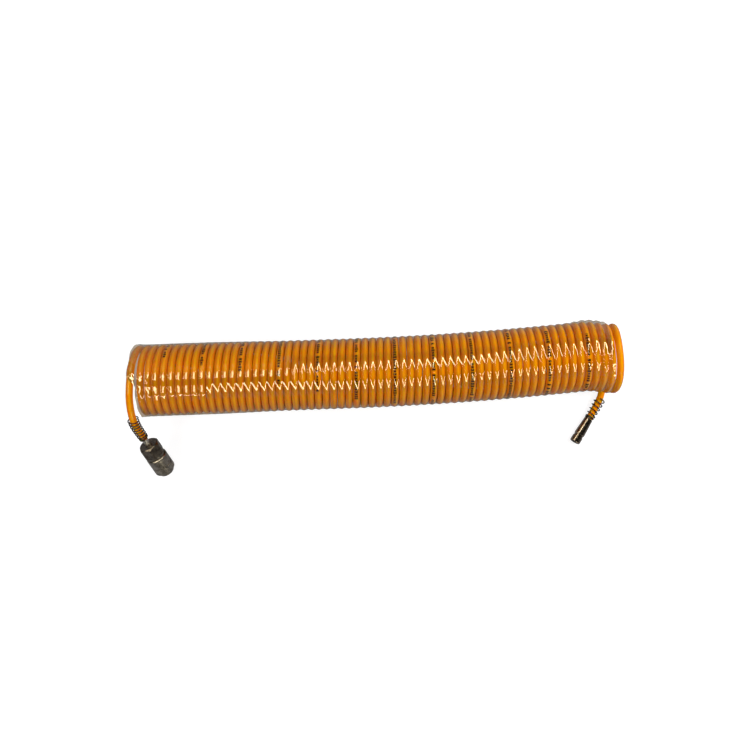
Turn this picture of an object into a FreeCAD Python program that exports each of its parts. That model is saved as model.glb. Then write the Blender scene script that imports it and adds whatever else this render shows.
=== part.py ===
import FreeCAD
import Part
import math
import os
from FreeCAD import Vector

# Recoil air hose: a left-handed polyurethane coil in a clear film sleeve, with a quick
# coupling socket on its left tail and the matching plug on its right tail. Millimetres.
# The coil lies along +X on the floor z = 0, +Z is up and -Y faces the couplings.
# The origin is on the floor, under the middle of the coil.

# Hose
hose_od = 8.0
hose_bore = 5.0

# Coil: its turns are numbered from its top left end, and its axis bends gently to the back
coil_mean_radius = 36.0
coil_turn_gap = 0.52
coil_turns = 63.5
coil_opening = 2.4
coil_opening_turns = 0.5
coil_end_straight = hose_od
bend_start = -40.0
bend_radius = 3600.0

# Film sleeve: one loose layer round the turns, flat where it lies on the floor
film_wall = 0.2
film_slack = 0.6
film_flat_depth = 0.5
film_overhang = 1.4
film_bare_turns = 2.0

# Corners of the socket's tail, chosen by hand: it passes over the coil's end and dips to the stem
socket_tail_first_run = 6.5
socket_tail_last_run = 20.0
socket_tail_corners = [
    Vector(-276.4, -23.5, 74.9),
    Vector(-276.3, -34.6, 71.0),
    Vector(-275.7, -45.4, 63.8),
]
# Corners of the plug's tail, chosen by hand: it runs along the floor and turns left
plug_tail_first_run = 9.0
plug_tail_last_run = 25.0
plug_tail_corners = [
    Vector(268.9, -12.7, 4.9),
    Vector(265.0, -23.0, 6.0),
]

# Where the couplings lie: the middle of the socket's rear face and of the plug's rear face
socket_place_xy = (-265.1, -72.5)
socket_heading_deg = -64.6
socket_dip_deg = 43.0
plug_place_xy = (242.8, -58.7)
plug_heading_deg = -124.5
plug_dip_deg = 1.0

# Wire guards round the hose, beside each coupling
guard_wire = 1.4
guard_base_gap = 0.4
guard_free_gap = 1.1
guard_pitch_socket = 3.7
guard_pitch_plug = 5.2
guard_turns_socket = 8.75
guard_turns_plug = 6.0
guard_grip_turns = 1.0
guard_grip_pitch = 1.75
guard_grip_gap = 0.05

# Air way through the stems, and the barbs that hold the hose
barb_gap = 0.05
barb_ridge_height = 0.3
barb_wall = 0.65
barb_ridge_pitch = 4.5
barb_ridge_flat = 1.5
barb_ridges = 3

# Socket: hexagonal rear piece with the stem, local z runs from its rear face to the nose
stem_length = 9.0
stem_radius = 3.6
hex_length = 15.0
hex_across_flats = 21.4
hex_rear_chamfer = 1.8
hex_front_chamfer = 0.6
spigot_length = 5.0
spigot_wall = 1.4
spigot_end_gap = 0.2
spring_well_floor = 7.0
valve_well_depth = 3.5

# Socket: body
slide_gap = 0.05
collar_length = 6.0
plug_bore_gap = 0.1
inner_bore_step = 0.2
seat_thickness = 2.0
chamber_length = 5.3
seal_groove_width = 2.0
seal_section_radius = 0.9
seal_bite = 0.15
seal_from_seat = 3.6
plug_tip_gap = 0.45
mouth_chamfer = 0.6
nose_chamfer = 0.5

# Socket: lock balls in radial holes of the body
ball_count = 6
ball_radius = 1.6
ball_from_nose = 8.0
ball_neck_gap = 0.15
ball_hole_gap = 0.05
ball_lip_radius = 1.45
ball_lip_depth = 0.3

# Socket: sliding sleeve, held forward by its spring against the stop ring
sleeve_travel = 3.0
sleeve_end_gap = 0.3
sleeve_wall = 1.4
sleeve_front_from_nose = 4.0
sleeve_land_length = 6.0
sleeve_rear_chamfer = 0.7
sleeve_front_rounding = 1.5
sleeve_groove_width = 1.0
sleeve_groove_depth = 0.6
sleeve_grip_length = 9.2
grip_flutes = 36
grip_flute_depth = 0.25
grip_flute_radius = 0.55
ring_thickness = 1.0
ring_depth = 0.65
ring_hold = 0.65
ring_opening = 3.0
sleeve_spring_wire = 1.0
sleeve_spring_side_gap = 0.45
sleeve_spring_turns = 4.75

# Socket: valve, pushed back by the plug
valve_travel = 4.0
valve_head_radius = 5.9
valve_head_thickness = 2.4
valve_head_gap = 0.3
valve_seal_overhang = 0.4
valve_seal_thickness = 1.0
valve_seal_gap = 0.5
valve_nose_radius = 4.3
valve_nose_gap = 0.3
valve_nose_wall = 1.5
valve_pilot_gap = 0.7
valve_pilot_length = 1.8
valve_port_radius = 1.2
valve_spring_wire = 0.8
valve_spring_mean_radius = 4.5
valve_spring_gap = 0.3
valve_spring_turns = 7.0

# Plug: local z runs from its rear face to its tip
plug_length = 32.0
plug_radius = 6.0
plug_rear_radius = 4.9
plug_rear_chamfer = 0.3
plug_taper_length = 19.0
plug_neck_width = 2.0
plug_neck_depth = 0.65
plug_nose_length = 7.4
plug_tip_rounding = 1.2
plug_air_radius = 3.4
plug_air_step = 3.0

# Small gap between pieces that only rest against each other
rest_gap = 0.05

# Share of its shorter run that the arc at a route's corner takes
corner_share = 0.45

UP = Vector(0, 0, 1)
ORIGIN = Vector(0, 0, 0)

hose_radius = hose_od / 2
coil_pitch = hose_od + coil_turn_gap
film_inner_radius = coil_mean_radius + hose_radius + film_slack
film_outer_radius = film_inner_radius + film_wall
axis_height = film_outer_radius - film_flat_depth

# Radii that follow from one another: hose and barb, valve, body, plug, balls and sleeve
barb_top_radius = hose_bore / 2 - barb_gap
barb_root_radius = barb_top_radius - barb_ridge_height
stem_bore_radius = barb_root_radius - barb_wall
barb_length = barb_ridges * barb_ridge_pitch
spring_well_radius = valve_spring_mean_radius + valve_spring_wire / 2 + valve_spring_gap
valve_pilot_radius = valve_spring_mean_radius - valve_spring_wire / 2 - valve_pilot_gap
valve_well_radius = valve_head_radius + valve_head_gap
spigot_radius = valve_well_radius + spigot_wall
valve_seal_radius = valve_head_radius + valve_seal_overhang
chamber_radius = valve_seal_radius + valve_seal_gap
seat_hole_radius = valve_nose_radius + valve_nose_gap
plug_bore_radius = plug_radius + plug_bore_gap
inner_bore_radius = plug_bore_radius + inner_bore_step
seal_middle_radius = plug_radius - seal_bite + seal_section_radius
seal_groove_radius = seal_middle_radius + seal_section_radius + rest_gap
ball_bite = plug_bore_gap + plug_neck_depth - ball_neck_gap
ball_seat_radius = plug_bore_radius - ball_bite + ball_radius
barrel_radius = ball_seat_radius + ball_radius
sleeve_land_radius = barrel_radius + slide_gap
cone_rise = ball_bite / sleeve_travel
pocket_radius = barrel_radius + sleeve_spring_wire + 2 * sleeve_spring_side_gap
collar_radius = pocket_radius - 2 * slide_gap
socket_radius = pocket_radius + sleeve_wall

# Lengths along the socket's local z
body_rear = hex_length
spigot_end = body_rear + spigot_length
chamber_start = spigot_end + spigot_end_gap
seat_rear = chamber_start + chamber_length
seat_front = seat_rear + seat_thickness
seal_z = seat_front + seal_from_seat
collar_front = body_rear + collar_length
plug_seated_tip = seat_front + plug_tip_gap
ball_z = plug_seated_tip + plug_nose_length + plug_neck_depth + plug_neck_width / 2
body_length = ball_z + ball_from_nose
guide_rear = ball_z + ball_radius + ball_hole_gap
sleeve_rear = body_rear + sleeve_travel + sleeve_end_gap
sleeve_front = body_length - sleeve_front_from_nose
land_rear = ball_z - sleeve_land_length
ring_rear = sleeve_front + rest_gap
ring_bed_radius = barrel_radius - ring_depth
sleeve_mouth_radius = sleeve_land_radius + cone_rise * (sleeve_front - ball_z)
ring_outer_radius = sleeve_mouth_radius + ring_hold
valve_seal_front = seat_rear - rest_gap
valve_head_front = valve_seal_front - valve_seal_thickness
valve_head_rear = valve_head_front - valve_head_thickness
valve_nose_end = plug_seated_tip + valve_travel


# Routes: straight runs joined by tangent arcs, which a length along them turns into a place


def bend_about(corner, before, after, reach):
    """Tangent arc at a corner: its ends lie `reach` from the corner on the two runs."""
    back = (before - corner).normalize()
    on = (after - corner).normalize()
    start = corner + back * reach
    end = corner + on * reach
    half_turn = (math.pi - back.getAngle(on)) / 2
    radius = reach / math.tan(half_turn)
    inward = (back + on).normalize()
    centre = corner + inward * (radius / math.cos(half_turn))
    return {"start": start, "end": end, "centre": centre, "radius": radius,
            "turn": 2 * half_turn, "middle": centre - inward * radius}


class Route:
    """Straight runs through hand-chosen points, with as wide an arc at each as its runs allow."""

    def __init__(self, points):
        self.pieces = []
        self.radii = []
        here = points[0]
        for before, corner, after in zip(points, points[1:], points[2:]):
            run = min((corner - before).Length, (after - corner).Length)
            bend = bend_about(corner, before, after, corner_share * run)
            self.add_line(here, bend["start"])
            self.pieces.append(("arc", bend["radius"] * bend["turn"], bend))
            self.radii.append(bend["radius"])
            here = bend["end"]
        self.add_line(here, points[-1])
        self.length = sum(piece[1] for piece in self.pieces)

    def add_line(self, start, end):
        self.pieces.append(("line", (end - start).Length, {"start": start, "end": end}))

    def at(self, distance):
        """Place and heading at a length along the route, which runs on straight past its ends."""
        left = distance
        for number, (kind, length, shape) in enumerate(self.pieces):
            last = number == len(self.pieces) - 1
            if left <= length or last:
                break
            left -= length
        if kind == "line":
            heading = (shape["end"] - shape["start"]).normalize()
            return shape["start"] + heading * left, heading
        angle = left / shape["radius"]
        out = (shape["start"] - shape["centre"]).normalize()
        along = (shape["end"] - shape["start"]).normalize()
        along = (along - out * along.dot(out)).normalize()
        place = shape["centre"] + (out * math.cos(angle) + along * math.sin(angle)) * shape["radius"]
        return place, along * math.cos(angle) - out * math.sin(angle)

    def wire(self):
        edges = []
        for kind, length, shape in self.pieces:
            if kind == "line":
                edges.append(Part.LineSegment(shape["start"], shape["end"]).toShape())
            else:
                edges.append(Part.Arc(shape["start"], shape["middle"], shape["end"]).toShape())
        return Part.Wire(edges)


class CoilAxis:
    """The coil's own axis: straight to bend_start, then a wide arc to the back, at one height."""

    def at(self, distance):
        if distance < bend_start:
            return Vector(distance, 0, axis_height), Vector(1, 0, 0)
        angle = (distance - bend_start) / bend_radius
        place = Vector(
            bend_start + bend_radius * math.sin(angle),
            bend_radius * (1 - math.cos(angle)),
            axis_height,
        )
        return place, Vector(math.cos(angle), math.sin(angle), 0)


def wound(guide, along, radius, start_angle, turns, side, hand):
    """Place and heading of a winding round a guide, at each quarter turn.

    along(turn) is the length along the guide and radius(turn) the winding's mean radius.
    The angle starts at start_angle from `side`, and hand is -1 for a left-handed winding.
    """

    def place(turn):
        middle, heading = guide.at(along(turn))
        across = (side - heading * side.dot(heading)).normalize()
        third = heading.cross(across)
        angle = start_angle + hand * 2 * math.pi * turn
        return middle + (across * math.cos(angle) + third * math.sin(angle)) * radius(turn)

    step = 1e-4
    count = round(turns * 4)
    knots = []
    for quarter in range(count + 1):
        turn = turns * quarter / count
        heading = (place(turn + step) - place(turn - step)).normalize()
        knots.append((place(turn), heading))
    return knots


def biarc(first, second):
    """Two arcs that meet smoothly, between two places with headings."""
    start, heading = first
    end, end_heading = second
    gap = end - start
    both = heading + end_heading
    lean = 2 * (1 - heading.dot(end_heading))
    reach = (-gap.dot(both) + math.sqrt(gap.dot(both) ** 2 + lean * gap.dot(gap))) / lean
    joint = (start + end + (heading - end_heading) * reach) / 2
    arcs = []
    for a, corner, b in ((start, start + heading * reach, joint),
                         (joint, end - end_heading * reach, end)):
        half = (corner - a).getAngle(b - a)
        middle = corner + ((a + b) / 2 - corner) / (1 + math.cos(half))
        arcs.append(Part.Arc(a, middle, b).toShape())
    return arcs


def winding_wire(knots, straight):
    """The winding's path, with a straight stretch at each end."""
    start, heading = knots[0]
    end, end_heading = knots[-1]
    edges = [Part.LineSegment(start - heading * straight, start).toShape()]
    for first, second in zip(knots, knots[1:]):
        edges.extend(biarc(first, second))
    edges.append(Part.LineSegment(end, end + end_heading * straight).toShape())
    return Part.Wire(edges)


def swept_shell(path, radius, place, heading):
    pipe = Part.BRepOffsetAPI.MakePipeShell(path)
    pipe.add(Part.Wire(Part.makeCircle(radius, place, heading)))
    pipe.build()
    return pipe


def rod(path, radius, place, heading):
    """A solid round wire along a path."""
    pipe = swept_shell(path, radius, place, heading)
    pipe.makeSolid()
    return outward(pipe.shape())


def end_ring(outer_end, inner_end):
    hole = Part.Wire(inner_end.Edges)
    hole.reverse()
    return Part.Face([Part.Wire(outer_end.Edges), hole])


def tube(path, place, heading):
    """The hose along a path: its outer skin, its bore and a ring at each end, in one solid."""
    outer = swept_shell(path, hose_radius, place, heading)
    inner = swept_shell(path, hose_bore / 2, place, heading)
    first = end_ring(outer.firstShape(), inner.firstShape()).reversed()
    last = end_ring(outer.lastShape(), inner.lastShape())
    bore = [face.reversed() for face in inner.shape().Faces]
    return outward(Part.Solid(Part.Shell(outer.shape().Faces + bore + [first, last])))


def outward(solid):
    if solid.Volume < 0:
        solid.reverse()
    return solid


def turned(profile):
    """A solid of revolution about local z, from its (z, radius) outline."""
    points = [Vector(radius, 0, z) for z, radius in profile]
    face = Part.Face(Part.makePolygon(points + [points[0]]))
    return outward(face.revolve(ORIGIN, UP, 360))


def drum(radius, low, high):
    return Part.makeCylinder(radius, high - low, Vector(0, 0, low))


def rounding(z, radius, size, steps=5):
    """Points of a quarter round that ends a profile at z, from its side to its end face."""
    points = []
    for step in range(steps + 1):
        angle = math.pi / 2 * step / steps
        points.append((z - size + size * math.sin(angle), radius - size + size * math.cos(angle)))
    return points


def placed(shape, place, heading):
    """Stands a shape made about local z on `place`, its +z along `heading`, its +x upward."""
    across = (UP - heading * UP.dot(heading)).normalize()
    third = heading.cross(across)
    turn = FreeCAD.Rotation(across, third, heading, "ZXY")
    moved = shape.copy()
    moved.Placement = FreeCAD.Placement(place, turn)
    return moved


def heading_of(degrees, dip_degrees=0.0):
    flat = math.cos(math.radians(dip_degrees))
    return Vector(
        flat * math.cos(math.radians(degrees)),
        flat * math.sin(math.radians(degrees)),
        -math.sin(math.radians(dip_degrees)),
    )


def least_gap(knots, wire_radius, turns_apart=1):
    """Least gap between neighbouring turns, measured on points a quarter turn apart."""
    apart = 4 * turns_apart
    nearest = min(
        min((knots[i][0] - knots[j][0]).Length for j in range(i + apart - 1, i + apart + 2)
            if j < len(knots))
        for i in range(len(knots) - apart)
    )
    return nearest - 2 * wire_radius


# Coil


def coil_along(turn):
    """Length along the coil's axis at a turn: even pitch, opening out at the left end."""
    even = coil_pitch * (turn - (coil_turns + 0.5) / 2)
    left = max(0.0, 1 - turn / coil_opening_turns)
    return even - coil_opening * left ** 2


def make_coil():
    knots = wound(CoilAxis(), coil_along, lambda turn: coil_mean_radius, 0.0, coil_turns, UP, -1)
    path = winding_wire(knots, coil_end_straight)
    start, heading = knots[0]
    start = start - heading * coil_end_straight
    end, end_heading = knots[-1]
    end = end + end_heading * coil_end_straight
    solid = tube(path, start, heading)
    gap = least_gap(knots, hose_radius)
    print(f"hose_coil: least gap between turns {gap:.3f} mm, length {path.Length / 1000:.3f} m")
    return solid, path, (start, heading), (end, end_heading)


# Film sleeve


def film_section(x):
    """The sleeve's section at x: two circles, each with its flat on the floor side."""
    rings = []
    for radius, floor in ((film_outer_radius, axis_height), (film_inner_radius, axis_height - film_wall)):
        half = math.sqrt(radius ** 2 - floor ** 2)
        left = Vector(x, -half, axis_height - floor)
        right = Vector(x, half, axis_height - floor)
        top = Vector(x, 0, axis_height + radius)
        rings.append(Part.Wire([Part.Arc(left, top, right).toShape(),
                                Part.LineSegment(right, left).toShape()]))
    outer, inner = rings
    return Part.Face(outer).cut(Part.Face(inner)).Faces[0]


def make_film():
    left = coil_along(1.0) - hose_radius - film_overhang
    right = coil_along(coil_turns - film_bare_turns)
    straight = film_section(left).extrude(Vector(bend_start - left, 0, 0))
    angle = math.degrees((right - bend_start) / bend_radius)
    centre = Vector(bend_start, bend_radius, 0)
    curved = film_section(bend_start).revolve(centre, UP, angle)
    return outward(straight.fuse(curved).removeSplitter().Solids[0])


# Hose tails and their wire guards


def make_tail(name, route):
    path = route.wire()
    place, heading = route.at(0)
    radii = ", ".join(f"{radius:.0f}" for radius in route.radii)
    print(f"{name}: length {path.Length:.1f} mm, radii {radii} mm")
    return tube(path, place, heading)


def make_guard(name, route, turns, pitch):
    """Spring wire round the tail: it grips the hose at the coupling and widens away from it."""
    grip_radius = hose_radius + guard_wire / 2 + guard_grip_gap
    grip_length = guard_grip_turns * guard_grip_pitch
    lead = guard_wire / 2 + guard_grip_gap

    def from_end(turn):
        if turn < guard_grip_turns:
            return lead + guard_grip_pitch * turn
        on = turn - guard_grip_turns
        ease = min(on, 1.0)
        return lead + grip_length + guard_grip_pitch * on + (pitch - guard_grip_pitch) * (
            on - ease + ease ** 2 / 2
        )

    def along(turn):
        return route.length - from_end(turn)

    def radius(turn):
        ease = min(max(turn - guard_grip_turns, 0.0), 1.0)
        smooth = ease * ease * (3 - 2 * ease)
        spread = max(turn - guard_grip_turns, 0.0) / (turns - guard_grip_turns)
        wide = hose_radius + guard_wire / 2 + guard_base_gap + (guard_free_gap - guard_base_gap) * spread
        return grip_radius + (wide - grip_radius) * smooth

    knots = wound(route, along, radius, 0.0, turns, UP, 1)
    path = winding_wire(knots, guard_wire)
    start, heading = knots[0]
    solid = rod(path, guard_wire / 2, start - heading * guard_wire, heading)
    print(f"{name}: least gap {least_gap(knots, guard_wire / 2):.3f} mm, "
          f"length along the hose {from_end(turns):.1f} mm")
    return solid


# Socket


class StraightGuide:
    """A guide along local z."""

    def at(self, distance):
        return Vector(0, 0, distance), UP


def barb_profile(rear):
    """Outline of a barb that points backwards from `rear`, in (z, radius), from its tip on."""
    points = [(rear - barb_length, stem_bore_radius)]
    for ridge in reversed(range(barb_ridges)):
        top_z = rear - ridge * barb_ridge_pitch - barb_ridge_flat
        points.append((rear - (ridge + 1) * barb_ridge_pitch, barb_root_radius))
        points.append((top_z, barb_top_radius))
        points.append((top_z, barb_root_radius))
    points.append((rear, barb_root_radius))
    return points


def make_hex_piece():
    """Hexagon with the bare stem and barb behind it, and the spigot that goes into the body."""
    rear = -stem_length
    outline = barb_profile(rear)
    outline += [
        (rear, stem_radius),
        (0, stem_radius),
        (0, socket_radius - hex_rear_chamfer),
        (hex_rear_chamfer, socket_radius),
        (hex_length - hex_front_chamfer, socket_radius),
        (hex_length, socket_radius - hex_front_chamfer),
        (hex_length, spigot_radius),
        (spigot_end, spigot_radius),
        (spigot_end, valve_well_radius),
        (spigot_end - valve_well_depth, valve_well_radius),
        (spigot_end - valve_well_depth, spring_well_radius),
        (spring_well_floor, spring_well_radius),
        (spring_well_floor, stem_bore_radius),
    ]
    piece = turned(outline)
    corner = hex_across_flats / math.sqrt(3)
    ring = [Vector(corner * math.cos(math.pi / 3 * k), corner * math.sin(math.pi / 3 * k), 0)
            for k in range(7)]
    prism = Part.Face(Part.makePolygon(ring)).extrude(Vector(0, 0, hex_length))
    band = drum(socket_radius + 1, 0, hex_length)
    return piece.cut(band.cut(prism))


def make_body():
    """Barrel with the plug's bore, the valve seat, the seal's groove and the ball holes."""
    ring_front = ring_rear + ring_thickness + rest_gap
    outer = [
        (body_rear, 0),
        (body_rear, collar_radius),
        (collar_front, collar_radius),
        (collar_front, barrel_radius),
        (sleeve_front, barrel_radius),
        (sleeve_front, ring_bed_radius),
        (ring_front, ring_bed_radius),
        (ring_front, barrel_radius),
        (body_length - nose_chamfer, barrel_radius),
        (body_length, barrel_radius - nose_chamfer),
        (body_length, 0),
    ]
    half = seal_groove_width / 2
    hollow = [
        (body_rear - 1, 0),
        (body_rear - 1, spigot_radius + slide_gap),
        (chamber_start, spigot_radius + slide_gap),
        (chamber_start, chamber_radius),
        (seat_rear, chamber_radius),
        (seat_rear, seat_hole_radius),
        (seat_front, seat_hole_radius),
        (seat_front, inner_bore_radius),
        (seal_z - half, inner_bore_radius),
        (seal_z - half, seal_groove_radius),
        (seal_z + half, seal_groove_radius),
        (seal_z + half, inner_bore_radius),
        (guide_rear, inner_bore_radius),
        (guide_rear, plug_bore_radius),
        (body_length - mouth_chamfer, plug_bore_radius),
        (body_length, plug_bore_radius + mouth_chamfer),
        (body_length + 1, plug_bore_radius + mouth_chamfer),
        (body_length + 1, 0),
    ]
    body = turned(outer).cut(turned(hollow))
    lip_end = plug_bore_radius + ball_lip_depth
    for angle in ball_angles():
        out = Vector(math.cos(angle), math.sin(angle), 0)
        foot = Vector(0, 0, ball_z)
        wide = Part.makeCylinder(ball_radius + ball_hole_gap, barrel_radius, foot + out * lip_end, out)
        lip = Part.makeCylinder(ball_lip_radius, lip_end, foot, out)
        body = body.cut(wide).cut(lip)
    return body


def ball_angles():
    return [2 * math.pi * (k + 0.5) / ball_count for k in range(ball_count)]


def make_balls():
    return [Part.makeSphere(ball_radius, Vector(ball_seat_radius * math.cos(angle),
                                                ball_seat_radius * math.sin(angle), ball_z))
            for angle in ball_angles()]


def make_sleeve():
    """Grip sleeve: a land holds the balls in, and a cone in front of it lets them out."""
    grip_rear = sleeve_front - sleeve_grip_length
    groove_rear = grip_rear - sleeve_groove_width
    groove_floor = socket_radius - sleeve_groove_depth
    outline = [
        (sleeve_rear, pocket_radius),
        (sleeve_rear, socket_radius - sleeve_rear_chamfer),
        (sleeve_rear + sleeve_rear_chamfer, socket_radius),
        (groove_rear, socket_radius),
        (groove_rear, groove_floor),
        (grip_rear, groove_floor),
        (grip_rear, socket_radius),
    ]
    outline += rounding(sleeve_front, socket_radius, sleeve_front_rounding)
    outline += [
        (sleeve_front, sleeve_mouth_radius),
        (ball_z, sleeve_land_radius),
        (land_rear, sleeve_land_radius),
        (land_rear, pocket_radius),
    ]
    sleeve = turned(outline)
    cutters = []
    for k in range(grip_flutes):
        angle = 2 * math.pi * k / grip_flutes
        reach = socket_radius + grip_flute_radius - grip_flute_depth
        foot = Vector(reach * math.cos(angle), reach * math.sin(angle), grip_rear - rest_gap)
        cutters.append(Part.makeCylinder(grip_flute_radius, sleeve_grip_length + 1, foot))
    return sleeve.cut(Part.makeCompound(cutters))


def make_stop_ring():
    ring = drum(ring_outer_radius, ring_rear, ring_rear + ring_thickness)
    ring = ring.cut(drum(ring_bed_radius + slide_gap, ring_rear - 1, ring_rear + ring_thickness + 1))
    gap = Part.makeBox(ring_outer_radius + 1, ring_opening, ring_thickness + 2,
                       Vector(0, -ring_opening / 2, ring_rear - 1))
    return ring.cut(gap)


def make_spring(name, low, high, mean_radius, wire, turns):
    """Compression spring along local z that fills the room from low to high."""
    rise = high - low - wire - 2 * rest_gap

    def along(turn):
        return low + wire / 2 + rest_gap + rise * turn / turns

    knots = wound(StraightGuide(), along, lambda turn: mean_radius, 0.0, turns, Vector(1, 0, 0), 1)
    edges = []
    for first, second in zip(knots, knots[1:]):
        edges.extend(biarc(first, second))
    start, heading = knots[0]
    print(f"{name}: least gap {least_gap(knots, wire / 2):.3f} mm")
    return rod(Part.Wire(edges), wire / 2, start, heading)


def make_valve():
    """Poppet: head, rear pilot for its spring and a hollow nose that the plug pushes."""
    nose_bore = valve_nose_radius - valve_nose_wall
    valve = turned([
        (valve_head_rear - valve_pilot_length, 0),
        (valve_head_rear - valve_pilot_length, valve_pilot_radius),
        (valve_head_rear, valve_pilot_radius),
        (valve_head_rear, valve_head_radius),
        (valve_head_front, valve_head_radius),
        (valve_head_front, valve_nose_radius),
        (valve_nose_end, valve_nose_radius),
        (valve_nose_end, nose_bore),
        (valve_head_front, nose_bore),
        (valve_head_front, 0),
    ])
    port_z = seat_rear + valve_port_radius + rest_gap
    for across in (Vector(1, 0, 0), Vector(0, 1, 0)):
        foot = Vector(0, 0, port_z) - across * valve_head_radius
        valve = valve.cut(Part.makeCylinder(valve_port_radius, 2 * valve_head_radius, foot, across))
    return valve


def make_valve_seal():
    ring = drum(valve_seal_radius, valve_head_front, valve_seal_front)
    return ring.cut(drum(valve_nose_radius, valve_head_front - 1, valve_seal_front + 1))


def make_packing():
    return Part.makeTorus(seal_middle_radius, seal_section_radius, Vector(0, 0, seal_z), UP)


# Plug


def make_plug():
    nose_rear = plug_length - plug_nose_length
    neck_front = nose_rear - plug_neck_depth
    neck_rear = neck_front - plug_neck_width
    neck_radius = plug_radius - plug_neck_depth
    outline = barb_profile(0.0)
    outline += [
        (0, plug_rear_radius - plug_rear_chamfer),
        (plug_rear_chamfer, plug_rear_radius),
        (plug_taper_length, plug_radius),
        (neck_rear - plug_neck_depth, plug_radius),
        (neck_rear, neck_radius),
        (neck_front, neck_radius),
        (nose_rear, plug_radius),
    ]
    outline += rounding(plug_length, plug_radius, plug_tip_rounding)
    outline += [
        (plug_length, plug_air_radius),
        (plug_air_step, plug_air_radius),
        (plug_air_step, stem_bore_radius),
    ]
    return turned(outline)


# Assembly

nodes = {}

coil, coil_path, coil_start, coil_end = make_coil()
nodes["hose_coil"] = coil
nodes["film_sleeve"] = make_film()

socket_heading = heading_of(socket_heading_deg, socket_dip_deg)
dip = math.radians(socket_dip_deg)
rim_low = max(
    body_length * math.sin(dip) + (barrel_radius - nose_chamfer) * math.cos(dip),
    (body_length - nose_chamfer) * math.sin(dip) + barrel_radius * math.cos(dip),
)
socket_place = Vector(socket_place_xy[0], socket_place_xy[1], rim_low)
stem_end = socket_place - socket_heading * stem_length
start, heading = coil_start
socket_points = [start, start - heading * socket_tail_first_run]
socket_points += socket_tail_corners
socket_points += [stem_end - socket_heading * socket_tail_last_run, stem_end]
socket_route = Route(socket_points)
nodes["hose_tail_socket"] = make_tail("hose_tail_socket", socket_route)
nodes["guard_spring_socket"] = make_guard(
    "guard_spring_socket", socket_route, guard_turns_socket, guard_pitch_socket)

plug_heading = heading_of(plug_heading_deg, plug_dip_deg)
plug_dip = math.radians(plug_dip_deg)
plug_rim_z = plug_length - plug_tip_rounding
plug_place = Vector(
    plug_place_xy[0],
    plug_place_xy[1],
    plug_rim_z * math.sin(plug_dip) + plug_radius * math.cos(plug_dip),
)
end, end_heading = coil_end
plug_points = [end, end + end_heading * plug_tail_first_run]
plug_points += plug_tail_corners
plug_points += [plug_place - plug_heading * plug_tail_last_run, plug_place]
plug_route = Route(plug_points)
nodes["hose_tail_plug"] = make_tail("hose_tail_plug", plug_route)
nodes["guard_spring_plug"] = make_guard(
    "guard_spring_plug", plug_route, guard_turns_plug, guard_pitch_plug)
nodes["plug"] = placed(make_plug(), plug_place, plug_heading)

sleeve_spring_radius = (barrel_radius + pocket_radius) / 2
socket_pieces = {
    "socket_hex_stem": make_hex_piece(),
    "socket_body": make_body(),
    "socket_sleeve": make_sleeve(),
    "sleeve_stop_ring": make_stop_ring(),
    "sleeve_spring": make_spring("sleeve_spring", collar_front, land_rear,
                                 sleeve_spring_radius, sleeve_spring_wire, sleeve_spring_turns),
    "valve_poppet": make_valve(),
    "valve_seal": make_valve_seal(),
    "valve_spring": make_spring("valve_spring", spring_well_floor, valve_head_rear,
                                valve_spring_mean_radius, valve_spring_wire, valve_spring_turns),
    "plug_packing": make_packing(),
}
for number, ball in enumerate(make_balls()):
    socket_pieces[f"lock_ball_{number + 1}"] = ball
for name, shape in socket_pieces.items():
    nodes[name] = placed(shape, socket_place, socket_heading)

section = math.pi * (hose_radius ** 2 - (hose_bore / 2) ** 2)
for name, path in (("hose_coil", coil_path), ("hose_tail_socket", socket_route.wire()),
                   ("hose_tail_plug", plug_route.wire())):
    share = nodes[name].Volume / (section * path.Length)
    print(f"{name}: volume over section times length {share:.5f}")
print(f"socket place {tuple(round(v, 3) for v in socket_place)}")
print(f"socket heading {tuple(round(v, 6) for v in socket_heading)}")
print(f"plug place {tuple(round(v, 3) for v in plug_place)}")
print(f"plug heading {tuple(round(v, 6) for v in plug_heading)}")
for number, angle in enumerate(ball_angles()):
    way = placed(Part.Vertex(Vector(math.cos(angle), math.sin(angle), 0)), ORIGIN, socket_heading)
    print(f"lock_ball_{number + 1} way out {tuple(round(v, 6) for v in way.Vertexes[0].Point)}")

os.makedirs("parts", exist_ok=True)
for name, shape in nodes.items():
    if not shape.isValid() or len(shape.Solids) != 1:
        print(f"{name}: valid {shape.isValid()}, solids {len(shape.Solids)}")
    shape.exportStep(f"parts/{name}.step")
    box = shape.optimalBoundingBox()
    print(f"{name}: x {box.XMin:.1f} {box.XMax:.1f}, y {box.YMin:.1f} {box.YMax:.1f}, "
          f"z {box.ZMin:.2f} {box.ZMax:.2f}")
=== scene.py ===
import math

import bpy
import numpy as np
from mathutils import Matrix, Vector


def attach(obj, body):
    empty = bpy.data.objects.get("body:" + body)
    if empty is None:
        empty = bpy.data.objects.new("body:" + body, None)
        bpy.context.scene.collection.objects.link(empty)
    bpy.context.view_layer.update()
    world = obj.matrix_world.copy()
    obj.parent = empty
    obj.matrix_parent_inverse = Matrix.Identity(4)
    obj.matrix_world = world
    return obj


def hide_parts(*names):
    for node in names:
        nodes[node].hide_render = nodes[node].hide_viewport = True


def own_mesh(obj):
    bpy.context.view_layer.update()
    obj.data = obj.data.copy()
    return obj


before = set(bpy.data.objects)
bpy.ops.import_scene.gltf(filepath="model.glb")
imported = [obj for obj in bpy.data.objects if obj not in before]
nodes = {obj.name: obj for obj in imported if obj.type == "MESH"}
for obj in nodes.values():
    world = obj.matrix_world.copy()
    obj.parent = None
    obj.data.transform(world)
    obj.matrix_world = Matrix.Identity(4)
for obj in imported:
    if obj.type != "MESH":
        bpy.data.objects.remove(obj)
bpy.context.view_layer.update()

scene = bpy.context.scene

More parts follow.
